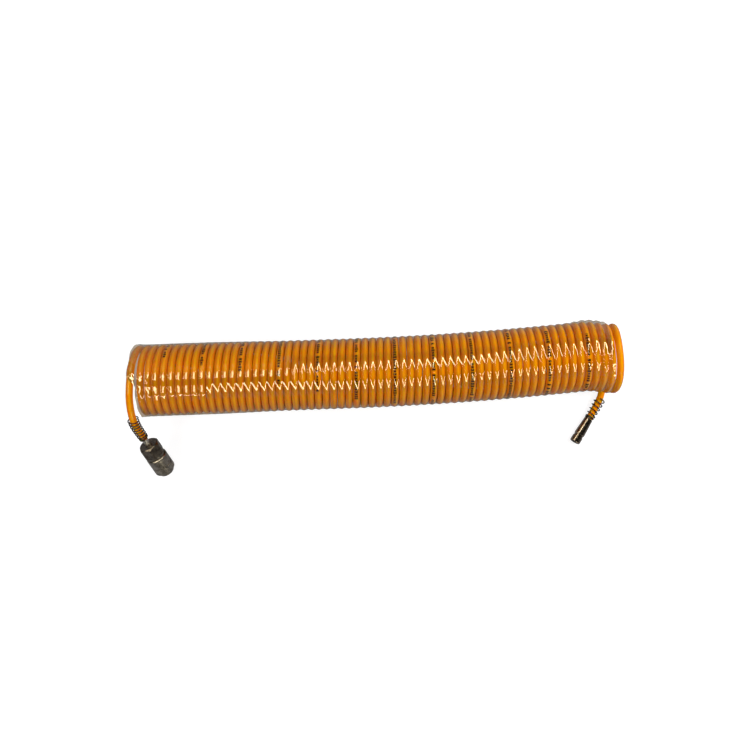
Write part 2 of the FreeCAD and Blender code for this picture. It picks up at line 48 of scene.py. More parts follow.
# Camera: one metre above the coil, nearly upright and turned two degrees, so that the coil
# rises a little to the right and its near side shows.
camera_place = Vector((-0.01049, -0.14291, 1.03811))
camera_elevation = math.radians(82)
camera_turn = math.radians(-2)
camera_right = Vector((math.cos(camera_turn), math.sin(camera_turn), 0))
camera_up = Vector((
    -math.sin(camera_turn) * math.sin(camera_elevation),
    math.cos(camera_turn) * math.sin(camera_elevation),
    math.cos(camera_elevation),
))
camera_back = camera_right.cross(camera_up)
camera = bpy.data.objects.new("studio_camera", bpy.data.cameras.new("studio_camera"))
camera.data.sensor_width = 36
camera.data.lens = 42.38
camera.data.clip_start = 0.01
camera.matrix_world = (
    Matrix.Translation(camera_place)
    @ Matrix((camera_right, camera_up, camera_back)).transposed().to_4x4()
)
scene.collection.objects.link(camera)
scene.camera = camera

# Hose: one length of 8 x 5 mm polyurethane tube, heat-set into a left-handed coil, with a short
# tail at each end. It is pushed onto the barb of the socket's stem and of the plug.
hose_radius = 0.004
hose_bore_radius = 0.0025
hose_outer_sides = 16
hose_inner_sides = 8
coil_radius = 0.036
coil_pitch = 0.00852
coil_turns = 63.5
coil_middle_turn = (coil_turns + 0.5) / 2
coil_opening = 0.0024
coil_opening_turns = 0.5
coil_height = 0.0403
bend_start = -0.040
bend_radius = 3.6
points_per_turn = 12
end_spread_from = 51.0
end_drop_from = 59.0
end_loose_to = 63.25
end_drop = 0.006
end_lean = 0.0014
end_spread = 0.0034
socket_tail = [
    (-0.267923, -0.066554, 0.042850),
    (-0.274197, -0.053341, 0.056490),
    (-0.2757, -0.0454, 0.0638),
    (-0.2763, -0.0346, 0.0710),
    (-0.2764, -0.0235, 0.0749),
]
plug_tail = [
    (0.2690, -0.0095, 0.0043),
    (0.2664, -0.0170, 0.0043),
    (0.2608, -0.0265, 0.0052),
    (0.256958, -0.038100, 0.006973),
    (0.2428, -0.0587, 0.006537),
]


def coil_axis(distance):
    """Place on the coil's axis at a length along it: straight along x up to bend_start, then an
    arc of bend_radius towards +y, all at coil_height. Also gives the heading there."""
    angle = np.maximum(distance - bend_start, 0) / bend_radius
    x = np.minimum(distance, bend_start) + bend_radius * np.sin(angle)
    y = bend_radius * (1 - np.cos(angle))
    place = np.stack([x, y, np.full_like(x, coil_height)], axis=-1)
    heading = np.stack([np.cos(angle), np.sin(angle), np.zeros_like(x)], axis=-1)
    return place, heading


def coil_along(turn):
    """Length along the axis at a turn: even pitch, with the first half turn opening out to the
    left by the square of what is left of it."""
    even = coil_pitch * (turn - coil_middle_turn)
    left = np.maximum(0, 1 - turn / coil_opening_turns)
    return even - coil_opening * left ** 2


def coil_turn(distance):
    """Turns passed at a length along the axis, where the pitch is even."""
    return distance / coil_pitch + coil_middle_turn


def round_axis(distance, angle, radius):
    """Place at an angle round the coil's axis, measured from straight up towards +y:
    axis + radius * (up * cos(angle) + back * sin(angle)), where back = up x heading."""
    place, heading = coil_axis(distance)
    back = np.stack([-heading[..., 1], heading[..., 0], np.zeros_like(angle)], axis=-1)
    up = np.zeros_like(back)
    up[..., 2] = 1
    return place + (up * np.cos(angle)[..., None] + back * np.sin(angle)[..., None]) * radius[..., None]


def smooth(value, start, end):
    """0 before start, 1 after end, and 3 s^2 - 2 s^3 between, where s is the share of the way."""
    share = np.clip((value - start) / (end - start), 0, 1)
    return share * share * (3 - 2 * share)


def settle(points, turn, angle):
    """The coil's last turns have spread, most at the back, and dropped forward:
    x + (end_lean + end_spread * max(0, sin(angle))^2) * smooth and y - end_drop * smooth."""
    points = points.copy()
    spread = end_lean + end_spread * np.maximum(0, np.sin(angle)) ** 2
    points[..., 0] += spread * smooth(turn, end_spread_from, end_loose_to)
    points[..., 1] -= end_drop * smooth(turn, end_drop_from, end_loose_to)
    return points


def hose_control_points():
    """Control points of the whole hose: the socket's tail, the helix and the plug's tail. The
    helix's points stand at radius / cos(half a step), so that the curve has the coil's radius."""
    step = np.arange(-1, int(coil_turns * points_per_turn) + 1)
    turn = (step + 0.5) / points_per_turn
    angle = 2 * math.pi * turn
    outer = np.full_like(turn, coil_radius / math.cos(math.pi / points_per_turn))
    helix = settle(round_axis(coil_along(turn), angle, outer), turn, angle)
    return np.concatenate([np.array(socket_tail), helix, np.array(plug_tail)])


def spline_line(points, resolution):
    """Points read along the smooth NURBS line of the third order that has these control points.
    Points less than 0.001 mm apart are taken as one."""
    curve = bpy.data.curves.new("route", "CURVE")
    curve.dimensions = "3D"
    curve.resolution_u = resolution
    spline = curve.splines.new("NURBS")
    spline.points.add(len(points) - 1)
    flat = np.ones((len(points), 4), np.float32)
    flat[:, :3] = points
    spline.points.foreach_set("co", flat.ravel())
    spline.order_u = 3
    spline.use_endpoint_u = True
    holder = bpy.data.objects.new("route", curve)
    scene.collection.objects.link(holder)
    bpy.context.view_layer.update()
    line_mesh = bpy.data.meshes.new_from_object(holder)
    line = np.zeros(len(line_mesh.vertices) * 3, np.float32)
    line_mesh.vertices.foreach_get("co", line)
    bpy.data.objects.remove(holder)
    bpy.data.curves.remove(curve)
    bpy.data.meshes.remove(line_mesh)
    line = line.reshape(-1, 3).astype(float)
    apart = np.linalg.norm(np.diff(line, axis=0), axis=1) > 1e-6
    return line[np.concatenate([[True], apart])]


def tube_rings(line, radius, sides):
    """Rings of a tube along a line: point + radius * (outward * cos(a) + across * sin(a)). The
    outward vector is point - nearest axis point, less its part along the line's heading, and
    across = heading x outward."""
    heading = np.gradient(line, axis=0)
    heading /= np.linalg.norm(heading, axis=1, keepdims=True)
    coil_start, coil_end = coil_along(np.array([0.0, coil_turns]))
    axis_place, _ = coil_axis(np.clip(line[:, 0], coil_start, coil_end))
    outward = line - axis_place
    outward -= heading * np.sum(outward * heading, axis=1, keepdims=True)
    outward /= np.linalg.norm(outward, axis=1, keepdims=True)
    across = np.cross(heading, outward)
    angle = 2 * math.pi * np.arange(sides) / sides
    ring = outward[:, None] * np.cos(angle)[:, None] + across[:, None] * np.sin(angle)[:, None]
    return (line[:, None] + ring * radius).reshape(-1, 3)


def grid_faces(rows, columns, turned=False):
    """Quads of a grid whose columns close on themselves. Turned quads face the other way."""
    row, column = np.meshgrid(np.arange(rows - 1), np.arange(columns), indexing="ij")
    beside = (column + 1) % columns
    quads = np.stack([
        row * columns + column,
        row * columns + beside,
        (row + 1) * columns + beside,
        (row + 1) * columns + column,
    ], axis=-1).reshape(-1, 4)
    return quads[:, ::-1] if turned else quads


def grid_uv(travelled, columns, turned=False):
    """(column / columns, row's length along the hose) at each corner of grid_faces, in its order."""
    row, column = np.meshgrid(np.arange(len(travelled) - 1), np.arange(columns), indexing="ij")
    beside = (column + 1) / columns
    column = column / columns
    low, high = travelled[row], travelled[row + 1]
    corners = np.stack([
        np.stack([column, low], axis=-1), np.stack([beside, low], axis=-1),
        np.stack([beside, high], axis=-1), np.stack([column, high], axis=-1),
    ], axis=-2)
    return (corners[..., ::-1, :] if turned else corners).reshape(-1, 2)


def end_faces(ring, bore_first, turned=False):
    """Faces that close the hose at a ring, between its outside and its bore, whose points start at
    bore_first. Each side of the bore meets two outer sides, so a quad and a triangle take turns."""
    side = np.arange(hose_outer_sides)
    outer = ring * hose_outer_sides + side
    outer_beside = ring * hose_outer_sides + (side + 1) % hose_outer_sides
    inner = bore_first + ring * hose_inner_sides + side // 2
    inner_beside = bore_first + ring * hose_inner_sides + (side + 1) // 2 % hose_inner_sides
    quads = np.stack([outer, outer_beside, inner_beside, inner], axis=-1)
    return [list(dict.fromkeys(quad)) for quad in (quads[:, ::-1] if turned else quads).tolist()]


def new_piece(name, points, faces, material, uv=None):
    """A smooth-shaded piece from its points and faces, with an optional (u, v) per corner."""
    mesh = bpy.data.meshes.new(name)
    mesh.from_pydata(points.tolist(), [], faces)
    mesh.polygons.foreach_set("use_smooth", np.ones(len(faces), bool))
    if uv is not None:
        mesh.uv_layers.new(name="run").data.foreach_set("uv", uv.astype(np.float32).ravel())
    mesh.materials.append(material)
    piece = bpy.data.objects.new(name, mesh)
    scene.collection.objects.link(piece)
    return piece


class Wiring:
    """Adds nodes to one node tree and joins them. A value for an input is a number, a tuple or the
    output of another node."""

    def __init__(self, tree):
        self.tree = tree

    def feed(self, node, inputs):
        """Gives a node's inputs, by name or by number, their values."""
        for key, value in inputs.items():
            if isinstance(value, bpy.types.NodeSocket):
                self.tree.links.new(value, node.inputs[key])
            else:
                node.inputs[key].default_value = value

    def add(self, kind, inputs=None, **settings):
        """A new node with its settings and its inputs' values."""
        node = self.tree.nodes.new(kind)
        for key, value in settings.items():
            setattr(node, key, value)
        self.feed(node, inputs or {})
        return node

    def math(self, operation, *values):
        """Output of a Math node."""
        return self.add("ShaderNodeMath", dict(enumerate(values)), operation=operation).outputs[0]

    def mix(self, share, first, second):
        """Colour that goes from the first to the second as the share goes from 0 to 1."""
        inputs = {"Factor": share, "A": first, "B": second}
        return self.add("ShaderNodeMix", inputs, data_type="RGBA").outputs["Result"]

    def spread(self, value, start, end, low, high, **settings):
        """Value that goes from low to high as the given one goes from start to end."""
        inputs = dict(enumerate((value, start, end, low, high)))
        return self.add("ShaderNodeMapRange", inputs, **settings).outputs["Result"]


def new_material(name):
    """A new material, with its Principled BSDF and its wiring."""
    material = bpy.data.materials.new(name)
    material.use_nodes = True
    tree = material.node_tree
    return material, tree.nodes["Principled BSDF"], Wiring(tree)


# Sides, widths and heights of the painted highlight and the print are shares of a turn round the
# tube. A side is counted from the line that faces out of the coil. Clouds and scuffs are waves per
# metre. The painted highlight stands in for light mirrored in the bore, and the red towards the
# grooves is painted light that stands in for light passing through the tube.
# The light amber is a painted highlight along the crest and the red is painted light towards the grooves;
# the deep amber is the tube's own colour.
hose_amber_painted_highlight = (0.88, 0.350, 0.002, 1)
hose_amber_deep = (0.73, 0.212, 0.001, 1)
hose_amber_painted_groove_light = (0.91, 0.300, 0.001, 1)
painted_highlight_side = 0.03
painted_highlight_width = 0.092
painted_highlight_clouds = 4.1
painted_highlight_least = 0.5
painted_highlight_range = 0.7
painted_groove_light_from = 0.13
painted_groove_light_to = 0.22
print_colour = (0.020, 0.009, 0.003, 1)
print_strength = 0.97
print_spacing = 1.1206
print_start = 1.0035
print_length = 0.118
print_side = -0.03
print_height = 0.088
mark_length = 0.0029
mark_fill = 0.74
mark_gaps = 0.14
hose_scuffs = 900
hose_rough_low = 0.10
hose_rough_high = 0.20


def amber_polyurethane():
    """A lighter, yellower band is painted along a line near the one that faces out of the coil, as a
    painted highlight of light mirrored in the bore, with deeper amber beside it. Where the tube faces
    the next turn it is painted a brighter red, as painted light in the groove where shade would fall.
    Its print is a row of plain ticks of uneven height, with gaps: a tick stands where
    fract(along / mark_length) is less than mark_fill."""
    material, principled, wire = new_material("amber_polyurethane")
    run = wire.add("ShaderNodeSeparateXYZ", {0: wire.add("ShaderNodeUVMap", uv_map="run").outputs[0]})
    around, along = run.outputs["X"], run.outputs["Y"]

    def away_from(side):
        """Share of a turn from a place on the tube to a side: |fract(around + 0.5 - side) - 0.5|."""
        shifted = wire.math("FRACT", wire.math("ADD", around, 0.5 - side))
        return wire.math("ABSOLUTE", wire.math("SUBTRACT", shifted, 0.5))

    # Painted highlight: a lighter, yellower band along the crest, standing in for light mirrored in the
    # bore.
    from_painted_highlight = away_from(painted_highlight_side)
    painted_highlight = wire.spread(from_painted_highlight, 0.0, painted_highlight_width, 1.0, 0.0, interpolation_type="SMOOTHSTEP")
    cloud_place = wire.math("MULTIPLY", along, painted_highlight_clouds)
    cloud = wire.add("ShaderNodeTexNoise", {"W": cloud_place}, noise_dimensions="1D").outputs["Fac"]
    clouded_highlight = wire.math("MULTIPLY", painted_highlight, wire.math("MULTIPLY_ADD", cloud, painted_highlight_range, painted_highlight_least))
    colour = wire.mix(clouded_highlight, hose_amber_deep, hose_amber_painted_highlight)
    # Painted light: a brighter red amber towards the grooves, where shade would fall, standing in for
    # light that passes through the clear tube.
    painted_groove_light = wire.spread(from_painted_highlight, painted_groove_light_from, painted_groove_light_to, 0.0, 1.0, interpolation_type="SMOOTHSTEP")
    colour = wire.mix(painted_groove_light, colour, hose_amber_painted_groove_light)

    since_print = wire.math("DIVIDE", wire.math("SUBTRACT", along, print_start), print_spacing)
    in_print = wire.math("LESS_THAN", wire.math("FRACT", since_print), print_length / print_spacing)
    marks = wire.math("DIVIDE", along, mark_length)
    in_mark = wire.math("LESS_THAN", wire.math("FRACT", marks), mark_fill)
    draw = wire.add("ShaderNodeTexWhiteNoise", {"W": wire.math("FLOOR", marks)}, noise_dimensions="1D")
    drawn = draw.outputs["Value"]
    kept = wire.math("GREATER_THAN", drawn, mark_gaps)
    height = wire.math("MULTIPLY_ADD", drawn, 0.5 * print_height, 0.5 * print_height)
    in_line = wire.math("LESS_THAN", away_from(print_side), height)
    on_tick = wire.math("MULTIPLY", in_print, in_mark)
    printed = wire.math("MULTIPLY", on_tick, wire.math("MULTIPLY", kept, in_line))
    colour = wire.mix(wire.math("MULTIPLY", printed, print_strength), colour, print_colour)

    place = wire.add("ShaderNodeTexCoord").outputs["Object"]
    scuffs = wire.add("ShaderNodeTexNoise", {"Vector": place, "Scale": hose_scuffs, "Detail": 3})
    wire.feed(principled, {
        "Base Color": colour,
        "Roughness": wire.spread(scuffs.outputs["Fac"], 0.0, 1.0, hose_rough_low, hose_rough_high),
        "IOR": 1.50,
        "Specular IOR Level": 0.20,
        "Subsurface Weight": 0.8,
        "Subsurface Radius": (1.0, 0.35, 0.02),
        "Subsurface Scale": 0.004,
    })
    return material


hose_line = spline_line(hose_control_points(), 4)
hose_rings = len(hose_line)
hose_travelled = np.concatenate([[0], np.cumsum(np.linalg.norm(np.diff(hose_line, axis=0), axis=1))])
hose_points = np.concatenate([
    tube_rings(hose_line, hose_radius, hose_outer_sides),
    tube_rings(hose_line, hose_bore_radius, hose_inner_sides),
])
hose_bore_first = hose_rings * hose_outer_sides
hose_ends = end_faces(0, hose_bore_first) + end_faces(hose_rings - 1, hose_bore_first, turned=True)
hose_faces = grid_faces(hose_rings, hose_outer_sides, turned=True).tolist()
hose_faces += (grid_faces(hose_rings, hose_inner_sides) + hose_bore_first).tolist()
hose_faces += hose_ends
# The bore's map is turned by half a turn, and both ends lie on one spot of the map.
hose_uv = np.concatenate([
    grid_uv(hose_travelled, hose_outer_sides, turned=True),
    grid_uv(hose_travelled, hose_inner_sides) + (0.5, 0),
    np.full((sum(len(face) for face in hose_ends), 2), 0.5),
])
hose = new_piece("hose", hose_points, hose_faces, amber_polyurethane(), hose_uv)
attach(hose, "hose")
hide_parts("hose_coil", "hose_tail_socket", "hose_tail_plug")

# Film sleeve: clear packing film round the coil, drawn tight over the turns, with a ragged end
# on the left and a crinkled hem on the right, about a turn and a half short of the coil's end.
film_gap = 0.00015
film_sag_left = 0.00015
film_sag = 0.0010
film_overhang = 0.0012
film_bare_turns = 1.38
film_left = float(coil_along(np.array(1.0))) - hose_radius - film_overhang
film_right = float(coil_along(np.array(coil_turns - film_bare_turns)))
film_rows = 1200
film_columns = 80
film_bunching = 0.4
film_lowest = 0.00005
film_flattened = 0.0010
film_left_flare = 0.0006
film_left_ragged = 0.0005
film_left_climb = 0.0064
film_left_start = 0.35
film_right_ragged = 0.0009
hem_standing_off = 0.0026
crease_side = 0.0009
crease_lean = 0.12
crease_roll = 0.25
crease_dive = 1.8
soft_crease_limit = 0.0030
soft_crease_lean = 260
soft_crease_roll = 0.45
lean_ripple = 0.4
roll_ripple_least = 0.006
roll_ripple = 0.16
film_colour = (0.94, 0.86, 0.60, 1)
film_alpha_least = 0.012
film_alpha_rim = 0.70
film_rim_power = 3.2
# Weight of the painted sheen in the film's alpha.
film_alpha_painted_sheen = 0.16
film_alpha_crumpled = 0.15
# The line of sight leans by this angle from straight up, round the coil.
sight_lean = math.radians(8.15)


def ripple(u, v, seed, waves, low, high):
    """Sum of waves with random directions, closed round the sleeve:
    sin(n * u + k / coil_radius * v + phase), where n is a whole number up to high and k lies
    between low and high."""
    draws = np.random.default_rng(seed)
    total = np.zeros_like(u)
    for _ in range(waves):
        round_count = draws.integers(-high, high + 1)
        along_count = draws.uniform(low, high)
        total += np.sin(round_count * u + along_count / coil_radius * v + draws.uniform(0, 2 * math.pi))
    return total / math.sqrt(waves)


def film_turn(distance, angle):
    """Turns passed by a place on the film: a whole number on each turn's crest."""
    return coil_turn(distance) - angle / (2 * math.pi)


def past_start(angle):
    """Angle past the top, counted to the back, from film_left_start before it and all round:
    mod(angle + film_left_start, 2 pi) - film_left_start."""
    return np.mod(angle + film_left_start, 2 * math.pi) - film_left_start


def crumple(from_left, from_right):
    """How crumpled the film is, from 0 in its drawn middle to 1 at its ends: it fades from each end
    as exp(-distance)."""
    return np.clip(np.exp(-from_left / 0.030) + np.exp(-from_right / 0.026), 0, 1)


def film_radius(distance, angle, from_left, from_right):
    """Radius of the film: the turns' outside, less a wave that sinks between the turns by film_sag,
    and by film_sag_left at the left, and crumpled at both ends. Its left end flares. At the left
    it is drawn flat over the turns' front and back, by film_flattened * sin^2, and at the back its
    stiff right hem stands off by hem_standing_off * sin^2."""
    sag = film_sag_left + (film_sag - film_sag_left) * smooth(distance, -0.170, -0.090)
    wave = 0.5 - 0.5 * np.cos(2 * math.pi * film_turn(distance, angle))
    rough = 0.00022 * crumple(from_left, from_right) ** 2 + 0.00002
    wrinkle = rough * ripple(angle, distance, 7, 26, 18, 60)
    wrinkle = wrinkle + 0.00004 * ripple(angle, distance, 8, 18, 4, 16)
    behind = np.maximum(0, np.sin(angle)) ** 2
    lift = film_left_flare * np.exp(-from_left / 0.006)
    lift = lift + film_flattened * (1 - smooth(distance, -0.200, -0.100)) * np.sin(angle) ** 2
    lift = lift + hem_standing_off * smooth(-from_right, -0.050, -0.008) * behind
    return coil_radius + hose_radius + film_gap + lift - sag * wave + wrinkle


def film_creases(distance, angle):
    """How the drawn film leans along the coil and rolls round it, as slopes. A crease runs along
    each turn, crease_side right of its crest. Share is the way from it as a share of its limit.
    The film leans to both sides of it by crease_lean * share and rolls by crease_roll * share, to
    the back on the upper half and to the front on the lower half. Beyond the limit it dives
    between the turns with a slope of crease_dive. Towards both ends of the coil the lower half
    rolls to the front by 0.07 more, and towards the hem the upper half's roll grows steeper, by
    0.22 * share - 0.15. Round the first nine turns, and on the upper half of the first twenty, the
    film has a softer crease instead. There it leans by soft_crease_lean per metre of the way, and
    rolls to the back by soft_crease_roll at its back and in a band along its front."""
    turn = film_turn(distance, angle) - crease_side / coil_pitch
    place = coil_turn(distance)
    side = np.sin(angle + sight_lean)
    upper = side > -0.12
    loose = place < 9.5
    unfolded = loose | (upper & (place < 20.5))
    reach = np.where(upper | loose, np.mod(turn + 0.4, 1) - 0.4, np.mod(turn + 0.75, 1) - 0.75)
    reach = reach * coil_pitch
    left_limit = np.where(upper, 0.0022, 0.0062 - 0.0038 * smooth(place, 19, 34))
    right_limit = np.where(upper, 0.0025 + 0.0021 * smooth(place, 33, 40), 0.0021)
    limit = np.where(unfolded, soft_crease_limit, np.where(reach > 0, right_limit, left_limit))
    share = np.abs(reach) / limit
    lean = np.where(unfolded, soft_crease_lean * reach, crease_lean * share * np.sign(reach))
    lean = np.where(share < 1, lean, crease_dive * np.sign(reach))
    roll = np.where(upper, crease_roll, -crease_roll) * np.minimum(share, 1)
    to_ends = 1 - smooth(place, 20, 27) + smooth(place, 38, 48)
    steeper = (0.22 * np.minimum(share, 1) - 0.15) * smooth(place, 44, 55)
    roll = roll + np.where(upper, steeper, -0.07 * to_ends)
    lifted = smooth(side, 0.20, 0.25) + smooth(-side, 0.16, 0.22) - smooth(-side, 0.38, 0.42)
    return lean, np.where(unfolded, soft_crease_roll * lifted, roll)


def film_painted_sheen(distance, angle, from_left, from_right):
    """A painted sheen on the film, from 0 to about 1, that sets how strongly it mirrors. It is painted
    strong where the film faces the camera, but not at the back of its left part, nor, right of that,
    between its upper and its lower creases, where it is painted clear. At the left end it is painted
    stronger where the film is folded over itself round the tail's bend. At the hem it is painted
    whitish at the back and dull at the front."""
    side = np.sin(angle + sight_lean)
    below = np.cos(angle + sight_lean) < 0
    bright = 1 - smooth(np.abs(side) + below, 0.46, 0.61)
    bright = bright * (1 - smooth(side, 0.14, 0.21) * (1 - smooth(distance, -0.115, -0.100)))
    clear = smooth(side, -0.20, -0.14) * (1 - smooth(side, 0.03, 0.09))
    bright = bright * (1 - clear * smooth(distance, -0.115, -0.085))
    past = past_start(angle)
    fold = smooth(past, -0.34, -0.20) * (1 - smooth(past, 0.8, 1.3))
    bright = bright + 0.7 * np.exp(-(from_left / 0.007) ** 2) * fold
    hem = np.exp(-(from_right / 0.012) ** 2) * (1 - smooth(np.abs(side), 0.7, 0.95))
    at_back = smooth(side, 0.0, 0.2)
    return bright * (1 - 0.8 * hem * (1 - at_back)) + 0.9 * hem * at_back


def clear_film():
    """The film is a thin mirror, seen most at its rim, where its painted sheen is strong and where it
    is crumpled: alpha = film_alpha_least + film_alpha_rim * facing^film_rim_power + the painted sheen
    times its weight + film_alpha_crumpled * crumple^2. Its gloss follows the film's fine lay."""
    material, principled, wire = new_material("clear_film")
    lay = wire.add("ShaderNodeAttribute", attribute_name="lay").outputs["Vector"]
    bright = wire.add("ShaderNodeAttribute", attribute_name="bright").outputs["Fac"]
    crumpled = wire.add("ShaderNodeAttribute", attribute_name="crumple").outputs["Fac"]
    facing = wire.add("ShaderNodeLayerWeight", {"Blend": 0.5}).outputs["Facing"]
    rim = wire.math("POWER", facing, film_rim_power)
    alpha = wire.math("MULTIPLY_ADD", rim, film_alpha_rim, film_alpha_least)
    alpha = wire.math("MULTIPLY_ADD", bright, film_alpha_painted_sheen, alpha)
    alpha = wire.math("MULTIPLY_ADD", wire.math("POWER", crumpled, 2.0), film_alpha_crumpled, alpha)
    wire.feed(principled, {
        "Base Color": film_colour,
        "Metallic": 1.0,
        "Roughness": 0.06,
        "Alpha": alpha,
        "Normal": lay,
    })
    return material


def keep_values(piece, name, kind, field, values):
    """Keeps values at a piece's points, for its material to read."""
    values = values.astype(np.float32).ravel()
    piece.data.attributes.new(name, kind, "POINT").data.foreach_set(field, values)


# The film is a grid of film_v, the share of the way from its left to its right edge, by film_u,
# the angle round the coil. Its columns stand closer together at the top, where the light plays.
film_v, film_s = np.meshgrid(
    np.linspace(0, 1, film_rows), 2 * math.pi * np.arange(film_columns) / film_columns, indexing="ij"
)
film_u = film_s - film_bunching * np.sin(film_s)
# The ragged left edge climbs with the first turn, and steps back where that turn starts.
film_start = past_start(film_u)
first_turn = coil_opening * np.maximum(0, 1 - film_start / math.pi) ** 2
first_turn = first_turn + film_left_climb * (1 - film_start / (2 * math.pi))
left_edge = film_left - first_turn * smooth(film_start, -0.34, 0.0)
left_edge = left_edge + film_left_ragged * ripple(film_u, film_u * 0, 11, 9, 3, 11)
right_edge = film_right + film_right_ragged * ripple(film_u, film_u * 0, 12, 9, 3, 14)
film_distance = left_edge + (right_edge - left_edge) * film_v
from_left_edge, from_right_edge = film_distance - left_edge, right_edge - film_distance
film_radii = film_radius(film_distance, film_u, from_left_edge, from_right_edge)
film_points = round_axis(film_distance, film_u, film_radii)
film_points = settle(film_points, coil_turn(film_distance), film_u).reshape(-1, 3)
film_points[:, 2] = np.maximum(film_points[:, 2], film_lowest)
# The lay is outward + heading * lean + across * roll, with small ripples that grow at the ends.
film_axis, film_heading = coil_axis(film_distance)
film_outward = round_axis(film_distance, film_u, np.ones_like(film_distance)) - film_axis
film_across = np.cross(film_outward, film_heading)
film_crumple = crumple(from_left_edge, from_right_edge)
film_lean, film_roll = film_creases(film_distance, film_u)
film_lean = film_lean + lean_ripple * film_crumple * ripple(film_u, film_distance, 21, 20, 14, 44)
film_rippled = roll_ripple_least + roll_ripple * film_crumple
film_roll = film_roll + film_rippled * ripple(film_u, film_distance, 22, 20, 10, 40)
film_lay = film_outward + film_heading * film_lean[..., None] + film_across * film_roll[..., None]
film_lay /= np.linalg.norm(film_lay, axis=-1, keepdims=True)
film_faces = grid_faces(film_rows, film_columns, turned=True).tolist()
film = new_piece("clear_film_sleeve", film_points, film_faces, clear_film())
keep_values(film, "lay", "FLOAT_VECTOR", "vector", film_lay)
keep_values(film, "crumple", "FLOAT", "value", film_crumple)
# Painted sheen: how strongly the film mirrors, set by its side towards the line of sight.
film_painted_sheen_share = film_painted_sheen(film_distance, film_u, from_left_edge, from_right_edge)
keep_values(film, "bright", "FLOAT", "value", film_painted_sheen_share)
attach(film, "hose")
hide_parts("film_sleeve")

# Wire guards: open springs of dull drawn wire round each tail, that grip the hose at the
# coupling and keep it from kinking there.
metal_clouds = 180
metal_grain = 2600
metal_bump_strength = 0.08
metal_bump_height = 0.0001


def speckled_metal():
    """Group: a metal's colour and roughness, varied by soft clouds and fine drawn grain, and the
    grain's height."""
    group = bpy.data.node_groups.new("worn_metal", "ShaderNodeTree")
    sockets = [
        ("Light", "INPUT", "Color"), ("Dark", "INPUT", "Color"),
        ("Rough Low", "INPUT", "Float"), ("Rough High", "INPUT", "Float"),
        ("Color", "OUTPUT", "Color"), ("Roughness", "OUTPUT", "Float"), ("Height", "OUTPUT", "Float"),
    ]
    for name, direction, kind in sockets:
        group.interface.new_socket(name, in_out=direction, socket_type="NodeSocket" + kind)
    wire = Wiring(group)
    given = wire.add("NodeGroupInput").outputs
    place = wire.add("ShaderNodeTexCoord").outputs["Object"]
    clouds = wire.add("ShaderNodeTexNoise", {"Vector": place, "Scale": metal_clouds, "Detail": 4})
    grain = wire.add("ShaderNodeTexNoise", {"Vector": place, "Scale": metal_grain, "Detail": 2})
    darker = wire.spread(clouds.outputs["Fac"], 0.35, 0.65, 0.0, 1.0)
    grain_height = grain.outputs["Fac"]
    wire.add("NodeGroupOutput", {
        "Color": wire.mix(darker, given["Light"], given["Dark"]),
        "Roughness": wire.spread(grain_height, 0.0, 1.0, given["Rough Low"], given["Rough High"]),
        "Height": grain_height,
    })
    return group


worn_metal = speckled_metal()


def metal(name, light, dark, rough_low, rough_high):
    """A metal whose colour, roughness and fine bump come from the worn_metal group."""
    material, principled, wire = new_material(name)
    inputs = {"Light": (*light, 1), "Dark": (*dark, 1), "Rough Low": rough_low, "Rough High": rough_high}
    worn = wire.add("ShaderNodeGroup", inputs, node_tree=worn_metal).outputs
    bump = wire.add("ShaderNodeBump", {
        "Strength": metal_bump_strength, "Distance": metal_bump_height, "Height": worn["Height"]})
    wire.feed(principled, {
        "Base Color": worn["Color"],
        "Metallic": 1.0,
        "Roughness": worn["Roughness"],
        "Normal": bump.outputs["Normal"],
    })
    return material


def dress(material, *names):
    """Gives nodes of the CAD model a material."""
    for name in names:
        mesh = nodes[name].data
        mesh.materials.clear()
        mesh.materials.append(material)


guard_wire = metal("guard_wire", (0.105, 0.085, 0.065), (0.050, 0.038, 0.028), 0.26, 0.44)
dress(guard_wire, "guard_spring_socket", "guard_spring_plug")

# Socket: a nickel-plated quick coupling. Its rear piece has a bright turned stem and a dark
# hexagon, and is screwed into the body that carries the sliding sleeve.
socket_place = Vector((-0.2651, -0.0725, 0.036712))
socket_heading = Vector((0.313703, -0.660658, -0.681998))
stem_silver = (0.62, 0.60, 0.57, 1)
stem_front = -0.0002


def hex_and_stem():
    """Dark nickel on the hexagon, and bright on the stem behind it, up to stem_front. The place of
    a point along the socket is (point - socket_place) . socket_heading."""
    material = metal("dark_nickel", (0.21, 0.18, 0.15), (0.085, 0.072, 0.060), 0.22, 0.36)
    wire = Wiring(material.node_tree)
    principled = material.node_tree.nodes["Principled BSDF"]
    place = wire.add("ShaderNodeTexCoord").outputs["Object"]
    offset = wire.add("ShaderNodeVectorMath", {0: place, 1: tuple(socket_place)}, operation="SUBTRACT")
    along = wire.add(
        "ShaderNodeVectorMath", {0: offset.outputs[0], 1: tuple(socket_heading)}, operation="DOT_PRODUCT")
    on_stem = wire.math("LESS_THAN", along.outputs["Value"], stem_front)
    dark_nickel = principled.inputs["Base Color"].links[0].from_socket
    wire.feed(principled, {"Base Color": wire.mix(on_stem, dark_nickel, stem_silver)})
    return material


def shorten(name):
    """Reads a spring of the socket's points in world place and gives the spring a mesh of its own.
    The points are not used, and the spring is not shortened."""
    spring = nodes[name]
    points = np.zeros(len(spring.data.vertices) * 3, np.float32)
    spring.data.vertices.foreach_get("co", points)
    stance = np.array(spring.matrix_world)
    points = points.reshape(-1, 3) @ stance[:3, :3].T + stance[:3, 3]
    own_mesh(spring)


